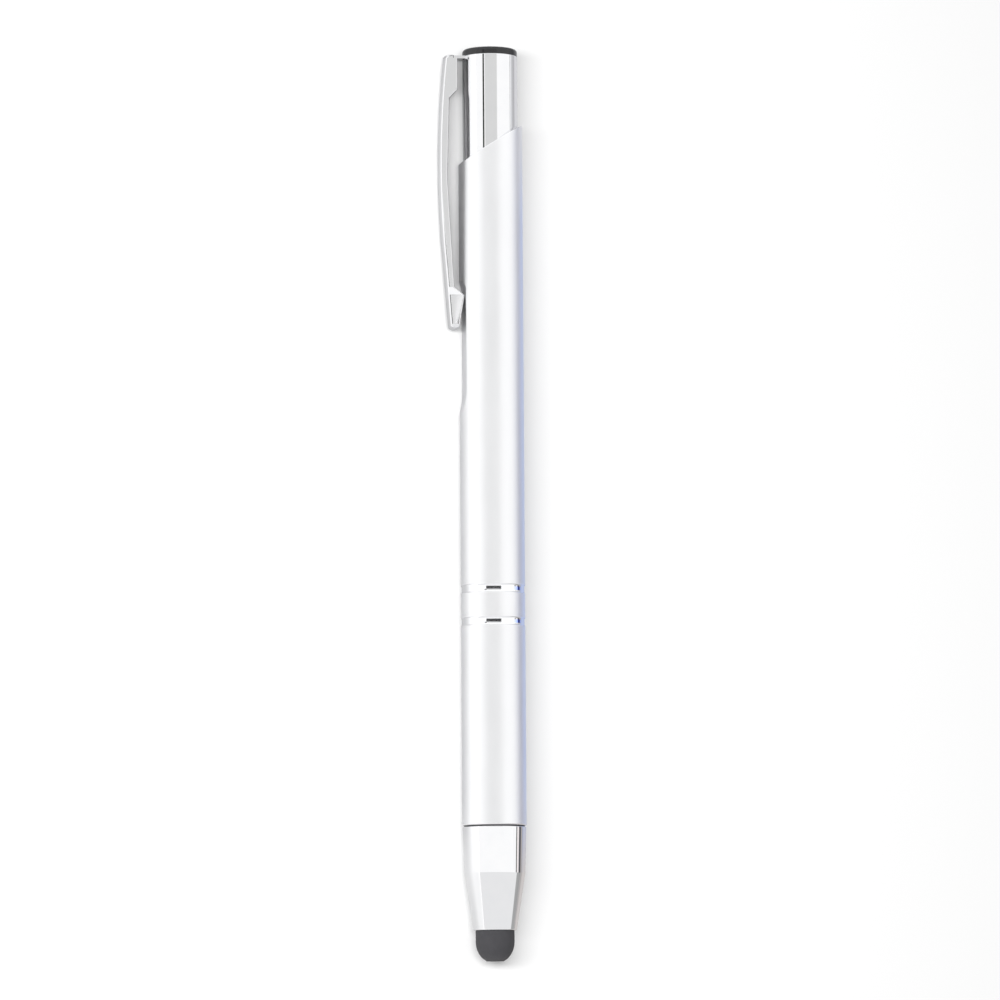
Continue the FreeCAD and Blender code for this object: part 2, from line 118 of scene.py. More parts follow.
class Shader:
    # Node tree of a material or of the world.

    def __init__(self, owner):
        owner.use_nodes = True
        self.tree = owner.node_tree
        self.tree.nodes.clear()

    def add(self, kind, settings, values):
        # Adds a node, its settings first and then its sockets, and gives its outputs.
        node = self.tree.nodes.new(kind)
        for key, value in settings.items():
            if key == "stops":
                while len(node.color_ramp.elements) < len(value):
                    node.color_ramp.elements.new(0.5)
                for element, (place, colour) in zip(node.color_ramp.elements, value):
                    element.position, element.color = place, (*colour, 1.0)
            else:
                setattr(node, key, value)
        for key, value in values.items():
            if isinstance(value, Wire):
                self.tree.links.new(value.socket, node.inputs[key])
            else:
                node.inputs[key].default_value = value
        return [Wire(self, socket) for socket in node.outputs]

    def place(self, stretch=(1, 1, 1)):
        # Object coordinates in millimetres, stretched along each axis.
        here = self.add("ShaderNodeTexCoord", {}, {})[3]
        scale = [1000 * share for share in stretch]
        return self.add("ShaderNodeMapping", {}, {"Vector": here, "Scale": scale})[0]

    def height(self):
        # Height above the nib's apex in millimetres.
        return self.add("ShaderNodeSeparateXYZ", {}, {"Vector": self.place()})[1] - lying["apexY"] * 1000

    def noise(self, where, scale, detail=2.0, roughness=0.5):
        # Noise with so many waves to a millimetre, 0 to 1.
        values = {"Vector": where, "Scale": scale, "Detail": detail, "Roughness": roughness}
        return self.add("ShaderNodeTexNoise", {}, values)[0]

    def mix(self, share, first, second):
        # Colour between first and second, each a socket or its red, green and blue.
        first, second = [end if isinstance(end, Wire) else (*end, 1.0) for end in (first, second)]
        return self.add("ShaderNodeMix", {"data_type": "RGBA"}, {0: share, 6: first, 7: second})[2]

    def ramp(self, place, stops):
        # Colour at a place from 0 to 1, between stops of (place, colour).
        return self.add("ShaderNodeValToRGB", {"stops": stops}, {0: place})[0]

    def bump(self, height, depth, strength=1.0, under=None):
        # Normal for a height from 0 to 1 that stands for a depth in mm.
        values = {"Height": height, "Distance": depth / 1000, "Strength": strength}
        if under is not None:
            values["Normal"] = under
        return self.add("ShaderNodeBump", {}, values)[0]


def makeMaterial(name, build):
    # New material whose Principled sockets are what build(shader) gives.
    material = bpy.data.materials.new(name)
    shader = Shader(material)
    surface = shader.add("ShaderNodeBsdfPrincipled", {}, build(shader))[0]
    shader.add("ShaderNodeOutputMaterial", {}, {"Surface": surface})
    return material


metalLook = dict(
    satin=(0.91, 0.914, 0.923), paleSatin=(0.93, 0.934, 0.943), satinRoughness=0.40,
    chrome=(0.86, 0.86, 0.865), paleChrome=(0.82, 0.825, 0.84), chromeRoughness=0.04,
    cut=(0.91, 0.91, 0.92), paleCut=(0.87, 0.88, 0.90), cutRoughness=0.05,
    # greys darker than the chrome, painted shade inside the clip's channel; the roughness is the duller
    # plating
    shadedPlating=(0.74, 0.735, 0.74), paleShadedPlating=(0.82, 0.815, 0.82), platingRoughness=0.34,
    footPolish=(0.04, 0.2),      # rise from the barrel's foot over which its turned polish fades out
)
capLook = dict(
    black=(0.011, 0.011, 0.012), dusty=(0.05, 0.05, 0.052), roughness=0.12, dustFrom=(0.66, 0.74),
)
rubberLook = dict(
    dark=(0.040, 0.0395, 0.043), pale=(0.056, 0.055, 0.060), worn=(0.085, 0.083, 0.088),
    roughness=0.62, wornHeight=(0.1, 1.6),
)
refillLook = dict(
    paste=(0.004, 0.012, 0.11), palePaste=(0.008, 0.02, 0.16), pasteRoughness=0.22,
    grease=(0.62, 0.60, 0.50), paleGrease=(0.74, 0.72, 0.62), greaseRoughness=0.14,
)


def satinAluminium(shader):
    # Bead-blasted and anodised: fine grain, slight clouding, polished where the foot is turned.
    look = metalLook
    grain = shader.noise(shader.place(), 9.0, 3.0, 0.6)
    cloud = shader.noise(shader.place((1, 0.25, 1)), 0.35, 2.0)
    footEdge = 1 - shader.height().step(*[lying["footHeight"] + rise for rise in look["footPolish"]])
    tone = shader.mix(cloud.step(0.3, 0.7), look["satin"], look["paleSatin"])
    rough = look["satinRoughness"] + (cloud - 0.5) * 0.05 + (grain - 0.5) * 0.06
    return {
        "Base Color": shader.mix(footEdge, tone, look["cut"]),
        "Metallic": 1.0,
        "Roughness": rough * (1 - footEdge * 0.6),
        "Normal": shader.bump(grain, 0.0035, 0.5),
    }


def brightCut(shader):
    # Diamond-turned bands and mouth: mirror bright, with fine tool marks round the pen.
    marks = shader.noise(shader.place((0.05, 14.0, 0.05)), 1.0, 2.0)
    smear = shader.noise(shader.place(), 1.2, 2.0)
    return {
        "Base Color": shader.mix(smear, metalLook["cut"], metalLook["paleCut"]),
        "Metallic": 1.0,
        "Roughness": metalLook["cutRoughness"] + marks * 0.05,
        "Normal": shader.bump(marks, 0.0008, 0.4),
    }


def polishedChrome(shader):
    # Plated and buffed: long faint buffing lines, handling smears in the gloss.
    buff = shader.noise(shader.place((6.0, 0.15, 6.0)), 1.0, 3.0)
    smear = shader.noise(shader.place(), 0.45, 3.0, 0.55)
    ripple = shader.noise(shader.place((1, 0.4, 1)), 0.25, 1.0)
    return {
        "Base Color": shader.mix(smear, metalLook["chrome"], metalLook["paleChrome"]),
        "Metallic": 1.0,
        "Roughness": metalLook["chromeRoughness"] + smear.step(0.5, 0.8) * 0.05 + buff * 0.02,
        "Normal": shader.bump(buff, 0.0003, 0.3, shader.bump(ripple, 0.006, 0.4)),
    }


def dullShadedPlating(shader):
    # Inside of the clip's channel: duller, rougher grey plating whose darker tone is painted shade for the
    # recess; cloudy, with drawing marks along the sheet.
    marks = shader.noise(shader.place((5.0, 0.2, 5.0)), 1.0, 3.0)
    cloud = shader.noise(shader.place(), 0.7, 3.0)
    return {
        "Base Color": shader.mix(cloud, metalLook["shadedPlating"], metalLook["paleShadedPlating"]),
        "Metallic": 1.0,
        "Roughness": metalLook["platingRoughness"] + marks * 0.14,
        "Normal": shader.bump(marks, 0.002, 0.4),
    }


def glossBlack(shader):
    # Moulded black plastic with a polished face, a little dust in the gloss.
    orange = shader.noise(shader.place(), 1.8, 2.0)
    dust = shader.noise(shader.place(), 14.0, 2.0).step(*capLook["dustFrom"])
    return {
        "Base Color": shader.mix(dust, capLook["black"], capLook["dusty"]),
        "Roughness": capLook["roughness"] + dust * 0.25 + orange * 0.05,
        "Normal": shader.bump(orange, 0.004, 0.35),
    }


def siliconeRubber(shader):
    # Conductive rubber: matt, faintly mottled, fine pores, and a paler tip worn by use.
    look = rubberLook
    mottle = shader.noise(shader.place(), 1.1, 4.0, 0.6)
    pores = shader.noise(shader.place(), 16.0, 3.0, 0.7)
    worn = 1 - shader.height().step(*look["wornHeight"])
    fresh = shader.mix(mottle, look["dark"], look["pale"])
    return {
        "Base Color": shader.mix(worn * mottle * 0.6, fresh, look["worn"]),
        "Roughness": look["roughness"] + pores * 0.16 - worn * 0.08,
        "Specular IOR Level": 0.35,
        "Normal": shader.bump(pores, 0.012, 0.5, shader.bump(mottle, 0.03, 0.25)),
    }


def mouldedPlastic(base, shade, rough):
    # Plain moulding: faint flow lines and a soft gloss.
    def build(shader):
        flow = shader.noise(shader.place((1, 0.3, 1)), 0.8, 3.0)
        grain = shader.noise(shader.place(), 10.0, 2.0)
        return {
            "Base Color": shader.mix(flow, base, shade),
            "Roughness": rough + (grain - 0.5) * 0.12,
            "Normal": shader.bump(grain, 0.004, 0.4),
        }
    return build


def turnedMetal(base, shade, rough):
    # Bar stock: tool marks round the axis and a little tarnish.
    def build(shader):
        marks = shader.noise(shader.place((0.1, 9.0, 0.1)), 1.0, 3.0)
        tarnish = shader.noise(shader.place(), 0.9, 3.0)
        return {
            "Base Color": shader.mix(tarnish.step(0.35, 0.8), base, shade),
            "Metallic": 1.0,
            "Roughness": rough + marks * 0.12,
            "Normal": shader.bump(marks, 0.002, 0.5),
        }
    return build


def writingPaste(shader):
    # Thick blue ink: dark, wet and a little uneven.
    mottle = shader.noise(shader.place(), 1.5, 3.0)
    return {
        "Base Color": shader.mix(mottle, refillLook["paste"], refillLook["palePaste"]),
        "Roughness": refillLook["pasteRoughness"] + mottle * 0.1,
        "Normal": shader.bump(mottle, 0.02, 0.3),
    }


def clearGrease(shader):
    # Follower grease: pale, cloudy and smooth.
    cloud = shader.noise(shader.place(), 1.2, 2.0)
    return {
        "Base Color": shader.mix(cloud, refillLook["grease"], refillLook["paleGrease"]),
        "Roughness": refillLook["greaseRoughness"] + cloud * 0.08,
        "Normal": shader.bump(cloud, 0.02, 0.3),
    }


finishes = {
    "satin_aluminium": ("satinAluminium", satinAluminium),
    "bright_cut": ("brightCut", brightCut),
    "bright_chrome": ("polishedChrome", polishedChrome),
    "dull_plating": ("dullShadedPlating", dullShadedPlating),
    "black_gloss": ("glossBlack", glossBlack),
    "nib_rubber": ("siliconeRubber", siliconeRubber),
    "black_plastic": ("seamPlastic", mouldedPlastic((0.018, 0.018, 0.02), (0.03, 0.03, 0.033), 0.42)),
    "white_acetal": ("guideAcetal", mouldedPlastic((0.72, 0.72, 0.70), (0.66, 0.66, 0.64), 0.38)),
    "blue_acetal": ("rotorAcetal", mouldedPlastic((0.03, 0.12, 0.42), (0.02, 0.09, 0.34), 0.36)),
    "grey_acetal": ("shaftAcetal", mouldedPlastic((0.22, 0.23, 0.24), (0.17, 0.18, 0.19), 0.4)),
    "brass": ("turnedBrass", turnedMetal((0.78, 0.57, 0.22), (0.62, 0.42, 0.15), 0.24)),
    "nickel_silver": ("nickelSilver", turnedMetal((0.66, 0.63, 0.56), (0.56, 0.53, 0.47), 0.2)),
    "refill_metal": ("refillTube", turnedMetal((0.72, 0.72, 0.70), (0.60, 0.60, 0.58), 0.28)),
    "spring_steel": ("springSteel", turnedMetal((0.62, 0.62, 0.63), (0.5, 0.5, 0.5), 0.22)),
    "carbide": ("groundCarbide", turnedMetal((0.42, 0.42, 0.44), (0.36, 0.36, 0.37), 0.12)),
    "blue_ink": ("writingPaste", writingPaste),
    "clear_grease": ("clearGrease", clearGrease),
}
materials = {slot: makeMaterial(name, build) for slot, (name, build) in finishes.items()}
print("made", len(materials), "materials")


def roundedProfile(corners, closed, segments=6):
    # Straight runs through the corners, each corner (x, y, rounding). A corner's arc has its centre on the
    # corner's bisector; a point just outside each end of the arc keeps the shading of the runs flat.
    arcShare, guardShare = 0.45, 0.49      # most of a run that an arc and its guard point may take
    guardOut = 1.3                         # guard point's distance from the corner, against the arc's end
    points = np.array([corner[:2] for corner in corners], float)
    found = []
    for n, size in enumerate(corner[2] for corner in corners):
        if size <= 0 or (not closed and n in (0, len(corners) - 1)):
            found.append(points[n:n + 1])
            continue
        here = points[n]
        before, after = points[n - 1] - here, points[(n + 1) % len(corners)] - here
        longBefore, longAfter = np.hypot(*before), np.hypot(*after)
        before, after = before / longBefore, after / longAfter
        half = math.acos(np.clip(before @ after, -1, 1)) / 2
        cut = min(size / math.tan(half), arcShare * longBefore, arcShare * longAfter)
        radius = cut * math.tan(half)
        middle = (before + after) / np.hypot(*(before + after))
        centre = here + middle * radius / math.sin(half)
        start, end = here + before * cut - centre, here + after * cut - centre
        turn = math.acos(np.clip(start @ end / radius ** 2, -1, 1))
        share = np.linspace(0, 1, segments + 1)[:, None]
        arc = centre + (np.sin((1 - share) * turn) * start + np.sin(share * turn) * end) / math.sin(turn)
        guardBefore = here + before * min(cut * guardOut, guardShare * longBefore)
        guardAfter = here + after * min(cut * guardOut, guardShare * longAfter)
        found += [guardBefore[None], arc, guardAfter[None]]
    return np.concatenate(found)


def gridFaces(rows, columns, closeRows):
    # Quads (i, j), (i + 1, j), (i + 1, j + 1), (i, j + 1). The last column joins the first, and the last row
    # does where the rows are closed.
    i, j = np.meshgrid(np.arange(rows if closeRows else rows - 1), np.arange(columns), indexing="ij")
    nextI, nextJ = (i + 1) % rows, (j + 1) % columns
    corners = [(i, j), (nextI, j), (nextI, nextJ), (i, nextJ)]
    return np.stack([row * columns + column for row, column in corners], -1).reshape(-1, 4)


mergeWithin, thinnestEdge = 2e-7, 1e-8     # metres


def makePiece(name, points, closeRows, body, nodes, slot, sharpAngle=28):
    # Piece from a grid of pen-frame points whose columns run round it. Doubles are merged, so rows that
    # shrink to a point close the piece, and the faces are turned outwards.
    rows, columns = points.shape[:2]
    mesh = bpy.data.meshes.new(name)
    mesh.from_pydata(toRow(points).reshape(-1, 3), [], gridFaces(rows, columns, closeRows))
    work = bmesh.new()
    work.from_mesh(mesh)
    bmesh.ops.remove_doubles(work, verts=work.verts, dist=mergeWithin)
    bmesh.ops.dissolve_degenerate(work, edges=work.edges, dist=thinnestEdge)
    bmesh.ops.recalc_face_normals(work, faces=work.faces)
    work.to_mesh(mesh)
    work.free()
    mesh.shade_smooth()
    mesh.set_sharp_from_angle(angle=math.radians(sharpAngle))
    mesh.materials.append(materials[slot])
    piece = bpy.data.objects.new(name, mesh)
    bpy.context.scene.collection.objects.link(piece)
    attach(piece, body)
    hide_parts(*nodes)
    print("made", name, len(mesh.polygons), "faces")
    return piece


def faceMiddles(piece):
    # Middles of a piece's faces in the pen's own frame, in mm: toRow() the other way round.
    polygons = piece.data.polygons
    middle = np.empty(len(polygons) * 3)
    polygons.foreach_get("center", middle)
    right, along, up = (middle.reshape(-1, 3) - [lying["axisX"], lying["apexY"], lying["axisZ"]]).T * 1000
    sine, cosine = lying["dipSine"], lying["dipCosine"]
    return -cosine * right - sine * up, -sine * right + cosine * up, along


def turned(profile, columns=144):
    # Profile points (radius, height) carried round the axis: x = r cos a, y = r sin a.
    angle = np.linspace(0, 2 * np.pi, columns, endpoint=False)
    radius, height = profile[:, :1], profile[:, 1:]
    return np.stack([radius * np.cos(angle), radius * np.sin(angle), height + 0 * angle], -1)


# barrel: turned tube with an oblique mouth, a milled flat and two bright-cut bands
barrel = dict(
    radius=5.0, foot=lying["footHeight"], mouth=127.7, slope=31.8,
    bore=4.34, boreFoot=106.8, lowerBore=3.5, footBore=4.2, footBoreTop=31.0,
    chamfer=0.12, rimRound=0.09, rimBevel=0.29,
    bands=(52.7, 57.8), bandWidth=1.3, bandDepth=0.12, bandPower=6,
    flatDepth=0.72, flatLow=89.0, flatHigh=104.4, lowRunout=3.8, highRunout=1.8,
    flatColumns=12, restColumns=66, leastFlatAngle=8.0,
    bandRows=19, lowRows=22, flatRows=9, highRows=18, slantRows=6,
    guard=0.05, levelGuard=1.0, pastRunout=0.05,    # gaps of the rows that keep the shading of edges tight
)


def flatReach(height):
    # Distance of the milled flat from the axis: level between its ends, and a circle's arc up to the
    # surface at each run-out. The arc goes on past the surface, where the barrel's own radius takes over.
    b = barrel
    arcPast = 1.5
    face = b["radius"] - b["flatDepth"]
    reach = np.full(height.shape, face)
    for end, length, way in ((b["flatLow"], b["lowRunout"], -1), (b["flatHigh"], b["highRunout"], 1)):
        beyond = np.clip((height - end) * way, 0, None)
        bend = (length ** 2 + b["flatDepth"] ** 2) / (2 * b["flatDepth"])
        rise = bend - np.sqrt(np.clip(bend ** 2 - np.minimum(beyond, length * arcPast) ** 2, 0, None))
        reach = np.where(beyond > 0, face + rise, reach)
    return reach


def barrelRows():
    # Rows of the barrel's skin as (radius, height, slant): up the outside, over the mouth, down the bores.
    # Slant 1 follows the oblique mouth and 0 is level.
    b = barrel
    r, foot, mouth, e, guard = b["radius"], b["foot"], b["mouth"], b["rimRound"], b["guard"]
    level = foot + b["chamfer"]
    rows = [(b["footBore"], foot, 0), (b["footBore"] + guard, foot, 0), (r - b["chamfer"] - guard, foot, 0)]
    rows += [(r - b["chamfer"], foot, 0), (r, level, 0), (r, level + 2 * guard, 0)]
    groove = np.sin(np.linspace(-np.pi / 2, np.pi / 2, b["bandRows"]))
    half = b["bandWidth"] / 2
    for middle in b["bands"]:
        rows += [(r, middle - half - guard, 0)]
        rows += [(r - b["bandDepth"] * (1 - abs(u) ** b["bandPower"]), middle + u * half, 0) for u in groove]
        rows += [(r, middle + half + guard, 0)]
    low, high, past = b["flatLow"], b["flatHigh"], b["pastRunout"]
    heights = [low - b["lowRunout"] * (1 - u) for u in np.linspace(-past, 1, b["lowRows"])]
    heights += list(np.linspace(low, high, b["flatRows"])[1:-1])
    heights += [high + b["highRunout"] * u for u in np.linspace(0, 1 + past, b["highRows"])]
    rows += [(r, height, 0) for height in heights]
    start = high + b["highRunout"] + b["levelGuard"]
    slants = np.linspace(0, 1, b["slantRows"])
    rows += [(r, start + (mouth - e * 2 - start) * share, share) for share in slants]
    bore, boreFoot, bevel = b["bore"], b["boreFoot"], b["rimBevel"] * e
    rows += [(r, mouth - e, 1), (r - bevel, mouth - bevel, 1), (r - e, mouth, 1), (r - 2 * e, mouth, 1)]
    rows += [(bore + 2 * e, mouth, 1), (bore + e, mouth, 1), (bore + bevel, mouth - bevel, 1)]
    rows += [(bore, mouth - e, 1), (bore, mouth - 2 * e, 1), (bore, boreFoot + b["levelGuard"], 0)]
    rows += [(bore, boreFoot, 0), (b["lowerBore"], boreFoot, 0)]
    rows += [(b["lowerBore"], b["footBoreTop"], 0), (b["footBore"], b["footBoreTop"], 0)]
    return np.array(rows, float)


def barrelPoints():
    # x = r cos a, y = r sin a, and the height drops with x on slanted rows. The columns next to the clip
    # close up on the flat's edges, where cos a = flat / radius, and the flat's radius is flat / cos a.
    b = barrel
    rows = barrelRows()
    radius, base, slant = rows[:, :1], rows[:, 1:2], rows[:, 2:]
    reach = np.where(slant > 0, b["radius"], flatReach(base))
    outside = radius > b["bore"]
    edge = np.arccos(np.clip(reach / b["radius"], -1, 1)) * outside
    spread = np.maximum(edge, math.radians(b["leastFlatAngle"]))
    step = np.arange(-b["flatColumns"] - b["restColumns"], b["flatColumns"] + b["restColumns"])[None, :]
    size = np.abs(step)
    near = spread * size / b["flatColumns"]
    far = spread + (np.pi - spread) * (size - b["flatColumns"]) / b["restColumns"]
    angle = np.where(size <= b["flatColumns"], near, far)
    skin = np.where(angle < edge - 1e-9, reach / np.cos(np.minimum(angle, edge)), radius)
    angle = angle * np.sign(step)
    x = skin * np.cos(angle)
    height = base - slant * x * math.tan(math.radians(b["slope"]))
    return np.stack([x, skin * np.sin(angle), height], -1)


barrelShell = makePiece("barrelShell", barrelPoints(), True, "barrel", ["barrel"], "satin_aluminium", 16)


def paintCutFaces(piece):
    # Gives the bands and the mouth's rim the bright-cut finish. A face belongs to them by its middle, which
    # on the rim lies just under the mouth's plane and inside the outer skin.
    b = barrel
    mesh = piece.data
    mesh.materials.append(materials["bright_cut"])
    x, y, height = faceMiddles(piece)
    distance = np.hypot(x, y)
    rim = b["mouth"] - x * math.tan(math.radians(b["slope"])) - height
    skinDepth = 0.005
    cut = (rim < b["rimRound"] * 0.9) & (distance < b["radius"] - skinDepth)
    for band in b["bands"]:
        cut |= (np.abs(height - band) < b["bandWidth"] / 2) & (distance > b["bore"])
    mesh.polygons.foreach_set("material_index", cut.astype(np.int32))


paintCutFaces(barrelShell)


# push top: chromed sleeve and black cap
sleeve = dict(
    radius=4.3, bore=3.85, foot=113.15, top=141.65, rimRound=0.08, boreRound=0.05, footRound=0.1,
    notchHalf=1.4, notchDepth=0.5, notchFrom=140.4, notchFull=0.3, notchCorner=0.012,
    notchColumns=17, restColumns=130,
)
cap = dict(
    radius=sleeve["radius"], foot=sleeve["top"], edge=0.62, corner=0.5, crown=0.35,
    footRound=0.06, plug=3.0, plugFoot=134.65, plugRound=0.15,
    shaftHole=2.02, holeTop=139.67, holeRound=0.1, domeRows=14, cornerRows=12,
)


def sleevePoints():
    # Tube whose rim drops where the clip's tongue passes: the rows above notchFrom follow the rim's drop, in
    # full from notchFull below the rim.
    k = sleeve
    corners = [(k["bore"], k["foot"], k["boreRound"]), (k["radius"], k["foot"], k["footRound"])]
    corners += [(k["radius"], k["notchFrom"], 0), (k["radius"], k["top"], k["rimRound"])]
    corners += [(k["bore"], k["top"], k["rimRound"]), (k["bore"], k["notchFrom"], 0)]
    profile = roundedProfile(corners, True)
    side = math.asin(k["notchHalf"] / k["radius"])
    start = side + k["notchCorner"]
    notch = np.linspace(-side, side, k["notchColumns"])
    angle = np.concatenate([notch, np.linspace(start, 2 * np.pi - start, k["restColumns"])])
    drop = np.where(np.arange(len(angle)) < k["notchColumns"], k["notchDepth"], 0.0)
    radius, height = profile[:, :1], profile[:, 1:]
    share = np.clip((height - k["notchFrom"]) / (k["top"] - k["notchFrom"] - k["notchFull"]), 0, 1)
    return np.stack([radius * np.cos(angle), radius * np.sin(angle), height - share * drop], -1)


def capPoints():
    # Cap and its plug, turned: a low crown that is part of a sphere, a rounded edge, a blind hole for the
    # push shaft.
    k = cap
    rim = k["foot"] + k["edge"]
    inner = k["radius"] - k["corner"]
    ball = (inner ** 2 + k["crown"] ** 2) / (2 * k["crown"])
    dome = np.linspace(inner, 0, k["domeRows"])
    domeHeight = rim + k["corner"] + np.sqrt(ball ** 2 - dome ** 2) - (ball - k["crown"])
    bend = np.linspace(0, np.pi / 2, k["cornerRows"])[:-1]
    edge = np.stack([inner + k["corner"] * np.cos(bend), rim + k["corner"] * np.sin(bend)], -1)
    below = roundedProfile([
        (0, k["holeTop"], 0), (k["shaftHole"], k["holeTop"], k["holeRound"]),
        (k["shaftHole"], k["plugFoot"], k["holeRound"]), (k["plug"], k["plugFoot"], k["plugRound"]),
        (k["plug"], k["foot"], 0), (k["radius"], k["foot"], k["footRound"]), (k["radius"], rim, 0)], False)
    return turned(np.concatenate([below, edge, np.stack([dome, domeHeight], -1)]))


makePiece("sleeveTube", sleevePoints(), True, "push_top", ["top_sleeve"], "bright_chrome")
makePiece("capDome", capPoints(), False, "push_top", ["end_cap"], "black_gloss")


# nose: chromed cone in two tapers and the rubber nib
cone = dict(
    foot=4.85, footRadius=3.36, kinkHeight=13.7, kinkRadius=4.74, top=20.85, topRadius=4.93,
    spigot=3.41, spigotTop=28.85, chamber=2.3, chamberFoot=8.55, ledge=1.35, ledgeFoot=7.15, seat=2.55,
    footRound=0.16, kinkRound=0.6, topRound=0.07, spigotRound=0.15, chamberRound=0.1, innerRound=0.05,
)
nib = dict(
    radius=3.02, domeHeight=3.4, domePower=2.1, domeRows=26, foot=0.0878, top=cone["foot"],
    hole=1.3, rimFlat=0.05, lipRise=0.04, lipOut=0.012, lipTop=0.16, lipIn=0.001,    # the bore and its rim
    stem=2.53, stemTop=7.13, coreSeat=1.75, coreFoot=2.6,
    sideRound=0.12, stemRound=0.1, innerRound=0.05, coreRound=0.02,
)


def conePoints():
    # Outside up the two tapers, over the spigot, and down inside by the spring's chamber, the ledge that the
    # spring stands on and the nib's seat.
    k = cone
    chamber, inner = k["chamberRound"], k["innerRound"]
    corners = [
        (k["seat"], k["foot"], inner), (k["footRadius"], k["foot"], k["footRound"]),
        (k["kinkRadius"], k["kinkHeight"], k["kinkRound"]), (k["topRadius"], k["top"], k["topRound"]),
        (k["spigot"], k["top"], inner), (k["spigot"], k["spigotTop"], k["spigotRound"]),
        (k["chamber"], k["spigotTop"], chamber), (k["chamber"], k["chamberFoot"], chamber),
        (k["ledge"], k["chamberFoot"], inner), (k["ledge"], k["ledgeFoot"], inner),
        (k["seat"], k["ledgeFoot"], inner)]
    return turned(roundedProfile(corners, True))


def nibPoints():
    # Dome: a superellipse (r / R)^n + (1 - z / H)^n = 1 from the hole's rim to the side, then the straight
    # side, the neck and the bore.
    k = nib
    power, height, inner = k["domePower"], k["domeHeight"], k["innerRound"]
    bend = np.linspace(math.asin((k["hole"] / k["radius"]) ** (power / 2)), np.pi / 2, k["domeRows"])
    radius = k["radius"] * np.sin(bend) ** (2 / power)
    rise = height * (1 - np.cos(bend) ** (2 / power))
    dome = np.stack([radius, rise - rise[0] + k["foot"]], -1)
    upper = roundedProfile([
        (k["radius"], dome[-1, 1], 0), (k["radius"], k["top"], k["sideRound"]), (k["stem"], k["top"], inner),
        (k["stem"], k["stemTop"], k["stemRound"]), (k["coreSeat"], k["stemTop"], inner),
        (k["coreSeat"], k["coreFoot"], k["coreRound"]), (k["hole"], k["coreFoot"], 0)], False)
    lipRadius = k["hole"] + np.array([-k["lipIn"], k["lipOut"]])
    lipHeight = k["foot"] + np.array([k["lipTop"], k["lipRise"]])
    dome[0] += [k["rimFlat"], 0.0]
    return turned(np.concatenate([dome, upper[1:], np.stack([lipRadius, lipHeight], -1)]))


makePiece("noseCone", conePoints(), True, "nose", ["nose_cone"], "bright_chrome")
makePiece("nibDome", nibPoints(), True, "nose", ["stylus_nib"], "nib_rubber")


# clip: stamped channel with a bowed web, deep walls at the root and a folded lobe at the nose
clip = dict(
    top=sleeve["top"], foot=98.45, sheet=0.45, halfWidth=1.8,
    reach=8.25, bow=160.0, peak=123.95, bowEnd=108.45,
    topBend=0.22, topDraw=(0.09, -0.05, 0.09, 0.09),
    plateFoot=141.2, plateReach=5.9, stepHigh=136.25, stepLow=134.85, stepRun=0.9, stepRound=0.28,
    lobeTop=105.05, lobeShoulder=103.85, webNoseHalf=1.72, keelHalf=1.58, tipHalf=1.7, tipKeelHalf=1.6,
    noseRound=0.82, noseMiddle=5.95, noseTurn=84.0, noseDraw=0.92,
    wallKnee=122.55, wallReach=(4.34, 6.0, 7.0, 6.629, 5.3, 5.3),      # from the lobe's shoulder up
    webCrown=0.14, edgeBend=0.42, wallRound=0.2, channelRound=0.12,
    bendShares=(0.45, 0.6), roundShares=(0.2, 0.3),    # most of the depth and the half width that they take
    # even stations, each run as its top, its foot and how many
    upperRuns=((140.2, 136.5, 5), (136.25, 134.85, 5), (134.3, 108.7, 40), (108.45, 105.3, 6)),
    lobeRows=7, noseRun=(103.5, 99.6, 10), topRows=7, noseRows=12,
    jump=0.001, plateGuard=0.3, lobeGuard=0.03, shoulderGuard=0.02,    # stations beside sudden changes
    webColumns=7, bendColumns=9, roundColumns=5, wallShares=(0.0, 0.04, 0.25, 0.5, 0.75, 0.96, 1.0),
)


